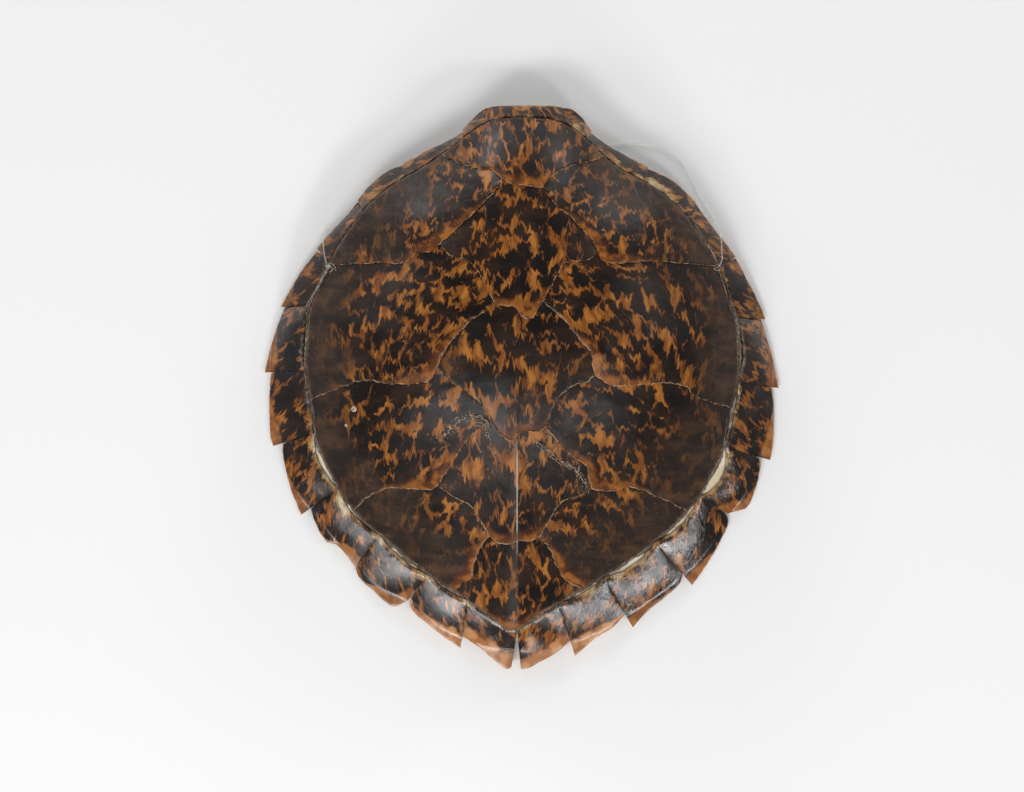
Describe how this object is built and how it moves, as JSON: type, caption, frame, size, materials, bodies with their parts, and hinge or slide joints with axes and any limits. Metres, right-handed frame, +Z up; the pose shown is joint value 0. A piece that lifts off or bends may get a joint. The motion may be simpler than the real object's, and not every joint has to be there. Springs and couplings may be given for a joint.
{
  "type": "sea turtle shell",
  "caption": "Dried sea turtle carapace: domed bone shield under overlapping glossy horn scutes, with a saw-toothed rear rim and a thin hanging line.",
  "frame": {"origin": "on the surface the shell rests on, under the middle of the shell's bounding box", "axes": "+Y towards the head end, +X towards the shell's right side as seen from above, +Z up through the crown"},
  "size_m": [0.3288, 0.3585, 0.0878],
  "materials": {
    "bone": "matte, dry, slightly porous cream bone",
    "horn": "glossy near-black brown horn with amber streaks",
    "rim_horn": "glossy dark brown horn, honey-coloured at its thin edges",
    "nylon": "clear to whitish nylon monofilament",
    "lime": "chalky white barnacle lime"
  },
  "bodies": {
    "root": {"carapace_bone": "bone", "vertebral_scute_1": "horn", "vertebral_scute_2": "horn", "vertebral_scute_3": "horn", "vertebral_scute_4": "horn", "vertebral_scute_5": "horn", "costal_scute_left_1": "horn", "costal_scute_left_2": "horn", "costal_scute_left_3": "horn", "costal_scute_left_4": "horn", "costal_scute_right_1": "horn", "costal_scute_right_2": "horn", "costal_scute_right_3": "horn", "costal_scute_right_4": "horn", "nuchal_scute": "rim_horn", "marginal_scute_left_1": "rim_horn", "marginal_scute_left_2": "rim_horn", "marginal_scute_left_3": "rim_horn", "marginal_scute_left_4": "rim_horn", "marginal_scute_left_5": "rim_horn", "marginal_scute_left_6": "rim_horn", "marginal_scute_left_7": "rim_horn", "marginal_scute_left_8": "rim_horn", "marginal_scute_left_9": "rim_horn", "marginal_scute_left_10": "rim_horn", "marginal_scute_left_11": "rim_horn", "marginal_scute_right_1": "rim_horn", "marginal_scute_right_2": "rim_horn", "marginal_scute_right_3": "rim_horn", "marginal_scute_right_4": "rim_horn", "marginal_scute_right_5": "rim_horn", "marginal_scute_right_6": "rim_horn", "marginal_scute_right_7": "rim_horn", "marginal_scute_right_8": "rim_horn", "marginal_scute_right_9": "rim_horn", "marginal_scute_right_10": "rim_horn", "marginal_scute_right_11": "rim_horn", "supracaudal_scute_left": "rim_horn", "supracaudal_scute_right": "rim_horn", "hanging_line": "nylon", "line_knot_left": "nylon", "line_knot_right": "nylon", "barnacle": "lime"}
  },
  "joints": []
}
